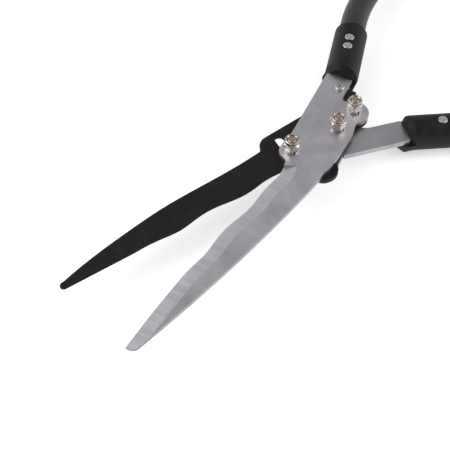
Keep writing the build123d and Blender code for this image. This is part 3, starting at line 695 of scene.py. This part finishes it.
class SHEARS_OT_lock_nuts(bpy.types.Operator):
    """Builds the three lock nuts: chamfered hexagons under round collars"""

    bl_idname = "shears.lock_nuts"
    bl_label = "Lock nuts"

    def execute(self, context):
        for place, turn in NUTS:
            node = place + "_lock_nut"
            low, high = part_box(node)
            turn = radians(turn)
            slope = tan(radians(30))
            bevel_from = NUT_APOTHEM * 0.96

            def side(angle, level, way):
                radius = hex_radius(angle, turn)
                return radius, level + way * max(0.0, radius - bevel_from) * slope

            rounding = rounded_step(COLLAR_RADIUS, NUT_HEIGHT, COLLAR_ROUND, turns=6)
            rules = [
                lambda angle: (NUT_APOTHEM * 0.94, 0.0),
                lambda angle: side(angle, 0.05 * MM, 1),
                lambda angle: side(angle, NUT_HEX - 0.1 * MM, -1),
                lambda angle: (bevel_from, NUT_HEX),
                lambda angle: (COLLAR_RADIUS + 0.12 * MM, NUT_HEX + 0.02 * MM),
                lambda angle: (COLLAR_RADIUS, NUT_HEX + 0.25 * MM),
            ]
            rules += [lambda angle, point=point: point for point in rounding]
            rules += [
                lambda angle: (NUT_BORE + COUNTERSINK, NUT_HEIGHT),
                lambda angle: (NUT_BORE, NUT_HEIGHT - COUNTERSINK),
                lambda angle: (NUT_BORE, 0.0),
            ]
            bm = bmesh.new()
            bmesh.ops.create_circle(bm, cap_ends=False, segments=NUT_SEGMENTS, radius=NUT_BORE)
            extrude_rings(bm, bm.edges[:], rules)
            bmesh.ops.remove_doubles(bm, verts=bm.verts, dist=0.002 * MM)
            bmesh.ops.recalc_face_normals(bm, faces=bm.faces)
            # the hex corners carry the edge mask, which the plating lightens as a painted highlight
            mark_edges(bm, [
                face for face in bm.faces
                if face.calc_center_median().to_2d().length > NUT_APOTHEM * 1.12
            ])
            centre = (low + high) / 2
            bmesh.ops.translate(bm, verts=bm.verts, vec=(centre.x, centre.y, low.z))
            hand_over(bm, place + "_nut_turned", "upper_half", [node], ["Nickel nut"])
        return {"FINISHED"}


class SHEARS_OT_washers(bpy.types.Operator):
    """Builds the split lock washers and the flat washers"""

    bl_idname = "shears.washers"
    bl_label = "Washers"

    def execute(self, context):
        gap = context.scene.shears_sizes.washer_gap
        for place, turn in NUTS:
            node = place + "_lock_washer"
            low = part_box(node)[0]
            centre = middle(place + "_lock_nut")
            start = radians(WASHER_SPLIT + turn) + gap / 2
            inner, outer, thick, rise = 4.4 * MM, 7.25 * MM, 1.6 * MM, 0.35 * MM
            bm = bmesh.new()
            section = bm.faces.new([
                bm.verts.new((radius, 0.0, height))
                for radius, height in ((inner, 0.0), (outer, 0.0), (outer, thick), (inner, thick))
            ])
            bmesh.ops.rotate(bm, verts=bm.verts, cent=(0, 0, 0), matrix=Matrix.Rotation(start, 3, "Z"))
            steps = 72
            one_step = Matrix.Rotation((2 * pi - gap) / steps, 3, "Z")
            made = bmesh.ops.extrude_face_region(bm, geom=[section])["geom"]
            bm.faces.remove(section)
            end = [part for part in made if isinstance(part, bmesh.types.BMFace)]
            for step in range(steps):
                verts = list({vert for face in end for vert in face.verts})
                bmesh.ops.rotate(bm, verts=verts, cent=(0, 0, 0), matrix=one_step)
                bmesh.ops.translate(bm, verts=verts, vec=(0, 0, rise / steps))
                if step < steps - 1:
                    old = end
                    made = bmesh.ops.extrude_face_region(bm, geom=end)["geom"]
                    end = [part for part in made if isinstance(part, bmesh.types.BMFace)]
                    bmesh.ops.delete(bm, geom=[f for f in old if f.is_valid], context="FACES_ONLY")
            bmesh.ops.holes_fill(bm, edges=[edge for edge in bm.edges if edge.is_boundary], sides=4)
            bmesh.ops.recalc_face_normals(bm, faces=bm.faces)
            break_edges(bm, 0.18 * MM)
            bmesh.ops.translate(bm, verts=bm.verts, vec=(centre.x, centre.y, low.z))
            hand_over(bm, place + "_split_washer", "upper_half", [node], ["Nickel washer"])
        for node in ("lever_pivot_washer", "guide_washer"):
            low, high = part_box(node)
            height = high.z - low.z
            outer = (high.x - low.x) / 2
            inner = 4.05 * MM
            corner = 0.3 * MM
            profile = [(inner, height), (inner, 0.0)]
            profile += [(outer - corner, 0.0), (outer - corner * 0.3, corner * 0.3), (outer, corner)]
            profile += rounded_step(outer, height, corner)
            bm = lathe(profile, 64, closed=True)
            bmesh.ops.translate(bm, verts=bm.verts, vec=((low.x + high.x) / 2, (low.y + high.y) / 2, low.z))
            hand_over(bm, node + "_disc", "upper_half", [node], ["Nickel washer"])
        return {"FINISHED"}


class SHEARS_OT_bolts(bpy.types.Operator):
    """Finishes the socket bolts, the bushes, the buffer screw and the rivets"""

    bl_idname = "shears.bolts"
    bl_label = "Bolts and rivets"

    def execute(self, context):
        for node in ("blade_pivot_bolt", "lever_pivot_bolt", "guide_bolt", "buffer_screw"):
            bm = clean_copy(node)
            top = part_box(node)[1].z
            for face in bm.faces:
                if node.endswith("bolt") and top - face.calc_center_median().z < 1.0 * MM:
                    face.material_index = 1
            break_edges(bm, 0.12 * MM, crease=40)
            finishes = ["Zinc plate", "Bolt end"]
            hand_over(bm, node + "_turned", "upper_half", [node], finishes)
        for side, arm in ARMS.items():
            head, reach, rise, corner = 4.6 * MM, 13.4 * MM, 1.9 * MM, 1.4 * MM
            dome = rounded_step(head, reach + rise, corner, turns=6)
            half = [(RIVET_RADIUS, reach), (head, reach)] + dome + [(0.0, reach + rise)]
            profile = [(radius, -height) for radius, height in reversed(half)] + half
            bm = bmesh.new()
            for place in RIVET_PLACES:
                one = lathe(profile, 48)
                bmesh.ops.transform(one, matrix=arm_frame(side, place), verts=one.verts)
                carried = bpy.data.meshes.new("rivet")
                one.to_mesh(carried)
                one.free()
                bm.from_mesh(carried)
                bpy.data.meshes.remove(carried)
            rivets = [side + "_rivets"]
            hand_over(bm, side + "_rivet_pair", arm["body"], rivets, ["Zinc plate"])
        for node in ("blade_pivot_bush", "lever_pivot_bush"):
            shown = frame["nodes"][node].data
            shown.materials.clear()
            shown.materials.append(FINISHES["Zinc plate"])
        return {"FINISHED"}


class SHEARS_OT_collars(bpy.types.Operator):
    """Finishes the moulded collars, their cores and the rubber buffer"""

    bl_idname = "shears.collars"
    bl_label = "Collars and buffer"

    def execute(self, context):
        width = context.scene.shears_sizes.moulded_edge
        for side, arm in ARMS.items():
            bm = clean_copy(side + "_collar")
            break_edges(bm, width, crease=30, segments=3)
            collar = [side + "_collar"]
            hand_over(bm, side + "_collar_shell", arm["body"], collar, ["Black plastic"])
            shown = frame["nodes"][side + "_tang_core"].data
            shown.materials.clear()
            shown.materials.append(FINISHES["Black plastic"])
        bm = clean_copy("buffer")
        break_edges(bm, width, crease=40, segments=3)
        hand_over(bm, "rubber_buffer", "upper_half", ["buffer"], ["Buffer rubber"])
        return {"FINISHED"}


class SHEARS_OT_tubes(bpy.types.Operator):
    """Bends the two handle tubes"""

    bl_idname = "shears.tubes"
    bl_label = "Handle tubes"

    def execute(self, context):
        sizes = context.scene.shears_sizes
        for side, arm in ARMS.items():
            lean = arm["side"]
            bm = bmesh.new()
            upright = Matrix.Translation((TUBE_START, 0, 0)) @ Matrix.Rotation(pi / 2, 4, "Y")
            for radius in (sizes.tube_radius, sizes.tube_radius - sizes.tube_wall):
                bmesh.ops.create_circle(bm, cap_ends=False, segments=64, radius=radius, matrix=upright)
            near = bm.edges[:]
            made = bmesh.ops.extrude_edge_only(bm, edges=near)["geom"]
            verts = [part for part in made if isinstance(part, bmesh.types.BMVert)]
            bmesh.ops.translate(bm, verts=verts, vec=(BEND_START - TUBE_START, 0, 0))
            ring = [part for part in made if isinstance(part, bmesh.types.BMEdge)]
            made = bmesh.ops.spin(
                bm, geom=verts + ring, cent=(BEND_START, -lean * BEND_RADIUS, 0), axis=(0, 0, 1),
                dvec=(0, 0, 0), angle=-lean * radians(BEND_ANGLE), steps=26, use_merge=False,
                use_duplicate=False,
            )["geom_last"]
            ring = [part for part in made if isinstance(part, bmesh.types.BMEdge)]
            made = bmesh.ops.extrude_edge_only(bm, edges=ring)["geom"]
            verts = [part for part in made if isinstance(part, bmesh.types.BMVert)]
            heading = -lean * radians(BEND_ANGLE)
            bmesh.ops.translate(bm, verts=verts, vec=(TUBE_TAIL * cos(heading), TUBE_TAIL * sin(heading), 0))
            far = [part for part in made if isinstance(part, bmesh.types.BMEdge)]
            bmesh.ops.bridge_loops(bm, edges=near)
            bmesh.ops.bridge_loops(bm, edges=far)
            bmesh.ops.recalc_face_normals(bm, faces=bm.faces)
            bmesh.ops.transform(bm, matrix=arm_frame(side), verts=bm.verts)
            tube = [side + "_tube"]
            hand_over(bm, side + "_handle_tube", arm["body"], tube, ["Tube powder coat"])
        return {"FINISHED"}


def rounded_section(bm, width, height, corner):
    """A rounded rectangle standing across X, as one face."""
    half = (width / 2, height / 2)
    corners = [bm.verts.new((0, y * half[0], z * half[1])) for y, z in ((-1, -1), (1, -1), (1, 1), (-1, 1))]
    bm.faces.new(corners)
    bmesh.ops.bevel(
        bm, geom=corners, offset=corner, offset_type="OFFSET", segments=8, profile=0.5,
        affect="VERTICES", clamp_overlap=True, material=-1,
    )
    return bm.faces[:]


def extrude_sections(bm, faces, stations, width, height):
    """Extrudes a section face through stations: distance, and how much it draws in or out."""
    for place, grow in stations:
        made = bmesh.ops.extrude_face_region(bm, geom=faces)["geom"]
        bmesh.ops.delete(bm, geom=[face for face in faces if face.is_valid], context="FACES_ONLY")
        faces = [part for part in made if isinstance(part, bmesh.types.BMFace)]
        verts = list({vert for face in faces for vert in face.verts})
        wide = max(abs(vert.co.y) for vert in verts)
        tall = max(abs(vert.co.z) for vert in verts)
        grow_y, grow_z = grow if isinstance(grow, tuple) else (grow, grow)
        for vert in verts:
            vert.co.x = place
            vert.co.y *= (width / 2 + grow_y) / wide
            vert.co.z *= (height / 2 + grow_z) / tall
    return faces


class SHEARS_OT_grips(bpy.types.Operator):
    """Moulds the two rubber grips with their guards and pressed rings"""

    bl_idname = "shears.grips"
    bl_label = "Grips"

    def execute(self, context):
        sizes = context.scene.shears_sizes
        width, height = GRIP_SECTION
        depth = sizes.groove_depth
        for side, arm in ARMS.items():
            front = -GRIP_LENGTH
            stations = [
                (front + 0.15 * MM, (GRIP_FLANGE - 1.5 * MM, -1.4 * MM)),
                (front + 0.7 * MM, (GRIP_FLANGE - 0.7 * MM, -0.6 * MM)),
                (front + 1.5 * MM, (GRIP_FLANGE - 0.15 * MM, -0.15 * MM)),
                (front + 2.4 * MM, (GRIP_FLANGE, 0.0)),
                (front + 5.6 * MM, (GRIP_FLANGE, 0.0)),
                (front + 6.6 * MM, (GRIP_FLANGE - 0.4 * MM, 0.0)),
                (front + 7.2 * MM, (GRIP_FLANGE - 1.3 * MM, -0.2 * MM)),
                (front + 8.4 * MM, (0.2 * MM, -0.5 * MM)),
                (front + 11.0 * MM, -0.5 * MM),
            ]
            for start in (front + GROOVE_MARGIN, -GROOVE_MARGIN - sizes.groove_count * GROOVE_PITCH):
                for index in range(sizes.groove_count):
                    at = start + index * GROOVE_PITCH
                    stations += [
                        (at, -0.1 * MM), (at + 0.5 * MM, -0.35 * MM), (at + 1.0 * MM, -depth),
                        (at + 2.0 * MM, -depth), (at + 2.5 * MM, -0.35 * MM), (at + 3.0 * MM, -0.1 * MM),
                    ]
                if start < -GRIP_LENGTH / 2:
                    first = start + sizes.groove_count * GROOVE_PITCH + 3.0 * MM
                    last = -GROOVE_MARGIN - sizes.groove_count * GROOVE_PITCH - 3.0 * MM
                    for step in range(9):
                        share = step / 8
                        swell = 0.8 * MM * (1 - sin(pi * share))
                        stations.append((first + (last - first) * share, (-0.05 * MM - swell, -0.05 * MM)))
            stations += [(-6.0 * MM, 0.0), (-0.9 * MM, 0.0), (-0.3 * MM, -0.25 * MM), (0.0, -0.8 * MM)]
            bm = bmesh.new()
            faces = rounded_section(bm, width, height, GRIP_CORNER)
            for vert in bm.verts:
                vert.co.x = front
                vert.co.y *= (width / 2 + GRIP_FLANGE - 2.4 * MM) / (width / 2)
                vert.co.z *= (height / 2 - 2.4 * MM) / (height / 2)
            near = bm.edges[:]
            faces = extrude_sections(bm, faces, stations, width, height)
            far = list({edge for face in faces for edge in face.edges})
            bmesh.ops.delete(bm, geom=faces, context="FACES_ONLY")
            bore = sizes.tube_radius + BORE_ROOM
            for place, rim in ((front, near), (0.0, far)):
                count = len(rim)
                upright = Matrix.Translation((place, 0, 0)) @ Matrix.Rotation(pi / 2, 4, "Y")
                verts = bmesh.ops.create_circle(
                    bm, cap_ends=False, segments=count, radius=bore, matrix=upright,
                )["verts"]
                ring = list({edge for vert in verts for edge in vert.link_edges})
                bmesh.ops.bridge_loops(bm, edges=rim + ring)
                if place:
                    first_ring = ring
            bmesh.ops.bridge_loops(bm, edges=first_ring + ring)
            bmesh.ops.recalc_face_normals(bm, faces=bm.faces)
            rim = width / 2 + GRIP_FLANGE - 0.5 * MM
            mark_edges(bm, [face for face in bm.faces if abs(face.calc_center_median().y) > rim])
            bmesh.ops.transform(bm, matrix=grip_frame(side), verts=bm.verts)
            grip = [side + "_grip"]
            hand_over(bm, side + "_grip_sleeve", arm["body"], grip, ["Grip rubber"], 50)
            self.end_cap(side, arm)
        return {"FINISHED"}

    def end_cap(self, side, arm):
        """The plastic cap that closes a grip, with a shallow dish in its end."""
        width, height = GRIP_SECTION
        stations = [
            (0.25 * MM, -0.25 * MM), (0.7 * MM, 0.0), (2.5 * MM, 0.0), (3.6 * MM, -0.14 * MM),
            (4.75 * MM, -0.6 * MM), (5.68 * MM, -1.32 * MM), (6.4 * MM, -2.25 * MM), (6.86 * MM, -3.36 * MM),
            (7.0 * MM, -4.5 * MM), (7.0 * MM, -6.0 * MM), (6.8 * MM, -6.4 * MM), (6.2 * MM, -6.9 * MM),
            (6.0 * MM, -7.6 * MM),
        ]
        bm = bmesh.new()
        faces = rounded_section(bm, width, height, GRIP_CORNER)
        for vert in bm.verts:
            vert.co.y *= (width / 2 - 0.8 * MM) / (width / 2)
            vert.co.z *= (height / 2 - 0.8 * MM) / (height / 2)
        near = bm.edges[:]
        extrude_sections(bm, faces, stations, width, height)
        bmesh.ops.edgeloop_fill(bm, edges=near)
        bmesh.ops.recalc_face_normals(bm, faces=bm.faces)
        bmesh.ops.transform(bm, matrix=grip_frame(side), verts=bm.verts)
        cap = [side + "_end_cap"]
        hand_over(bm, side + "_grip_cap", arm["body"], cap, ["Black plastic"], 40)


class SHEARS_OT_stage(bpy.types.Operator):
    """Lays the pale floor, lights the studio and places the camera"""

    bl_idname = "shears.stage"
    bl_label = "Studio"

    def execute(self, context):
        scene = context.scene
        tree, shader, place, _, _ = start_material("Pale paper", 0.0, 0.1)
        cloud = place_group(tree, "Mottle", {"Vector": place, "Scale": 3.0})["Mask"]
        tone = blend_colour(tree, cloud, (0.9, 0.9, 0.9, 1.0), (0.93, 0.93, 0.93, 1.0))
        tree.links.new(tone, shader.inputs["Base Color"])
        shader.inputs["Roughness"].default_value = 0.9
        tree.links.new(tone, shader.inputs["Emission Color"])
        shader.inputs["Emission Strength"].default_value = 0.55
        bm = bmesh.new()
        bmesh.ops.create_grid(bm, x_segments=8, y_segments=8, size=6.0)
        mesh = bpy.data.meshes.new("floor")
        bm.to_mesh(mesh)
        bm.free()
        mesh.materials.append(FINISHES["Pale paper"])
        floor = bpy.data.objects.new("floor", mesh)
        scene.collection.objects.link(floor)

        world = bpy.data.worlds.new("Soft studio")
        scene.world = world
        world.use_nodes = True
        tree = world.node_tree
        ray = add_node(tree, "ShaderNodeTexCoord").outputs["Generated"]
        tone = (0.95, 0.96, 1.0, 1.0)
        for way, low, high, dark in (
            ((0.4292, -0.4292, 0.794), 0.45, 0.95, (0.5, 0.5, 0.52, 1.0)),
            ((-0.4292, 0.4292, 0.794), 0.72, 0.95, (0.17, 0.125, 0.09, 1.0)),
        ):
            near = add_node(
                tree, "ShaderNodeVectorMath", {0: ray, 1: way}, operation="DOT_PRODUCT",
            ).outputs["Value"]
            tone = blend_colour(tree, remap(tree, near, low, high), tone, dark)
        tree.links.new(tone, tree.nodes["Background"].inputs["Color"])
        tree.nodes["Background"].inputs["Strength"].default_value = 1.0

        for name, spot, size, power in (
            ("Tip-side softbox", (0.9, 1.1, 0.9), 0.9, 7.0),
            ("Handle-side softbox", (-1.1, -0.9, 1.0), 0.9, 5.0),
        ):
            lamp = bpy.data.lights.new(name, "AREA")
            lamp.energy = power
            lamp.size = size
            light = bpy.data.objects.new(name, lamp)
            scene.collection.objects.link(light)
            light.location = spot
            aim = Vector((0.0, 0.1, 0.0)) - light.location
            light.rotation_euler = aim.to_track_quat("-Z", "Y").to_euler()

        lens = bpy.data.cameras.new("Camera")
        lens.sensor_width = 36.0
        lens.lens = CAMERA_LENS
        lens.clip_start = 0.01
        camera = bpy.data.objects.new("Camera", lens)
        scene.collection.objects.link(camera)
        camera.location = LEVER_AXIS + CAMERA_FROM_PIVOT
        camera.rotation_euler = CAMERA_AIM.to_track_quat("-Z", "Y").to_euler()
        scene.camera = camera
        scene.view_settings.view_transform = "Standard"
        return {"FINISHED"}


class SHEARS_PT_panel(bpy.types.Panel):
    """Lists the pieces of the shears in the order they are built"""

    bl_idname = "SHEARS_PT_panel"
    bl_label = "Hedge shears"
    bl_space_type = "VIEW_3D"
    bl_region_type = "UI"
    bl_category = "Shears"

    def draw(self, context):
        layout = self.layout
        for group in (context.scene.shears_sizes, context.scene.shears_colours):
            for key in group.__annotations__:
                layout.prop(group, key)
        for operator in OPERATORS:
            layout.operator(operator.bl_idname)


OPERATORS = (
    SHEARS_OT_finishes, SHEARS_OT_blades, SHEARS_OT_lever, SHEARS_OT_lock_nuts, SHEARS_OT_washers,
    SHEARS_OT_bolts, SHEARS_OT_collars, SHEARS_OT_tubes, SHEARS_OT_grips, SHEARS_OT_stage,
)
CLASSES = (ShearsSizes, ShearsColours, *OPERATORS, SHEARS_PT_panel)


def register():
    """Registers the classes and hangs the sizes and colours on the scene."""
    for cls in CLASSES:
        bpy.utils.register_class(cls)
    bpy.types.Scene.shears_sizes = PointerProperty(type=ShearsSizes)
    bpy.types.Scene.shears_colours = PointerProperty(type=ShearsColours)


def unregister():
    """Takes everything off again."""
    del bpy.types.Scene.shears_colours
    del bpy.types.Scene.shears_sizes
    for cls in reversed(CLASSES):
        bpy.utils.unregister_class(cls)


def main():
    """Builds the shears and their studio."""
    register()
    bpy.ops.shears.finishes()
    bpy.ops.shears.blades()
    bpy.ops.shears.lever()
    bpy.ops.shears.lock_nuts()
    bpy.ops.shears.washers()
    bpy.ops.shears.bolts()
    bpy.ops.shears.collars()
    bpy.ops.shears.tubes()
    bpy.ops.shears.grips()
    bpy.ops.shears.stage()


if __name__ == "__main__":
    main()
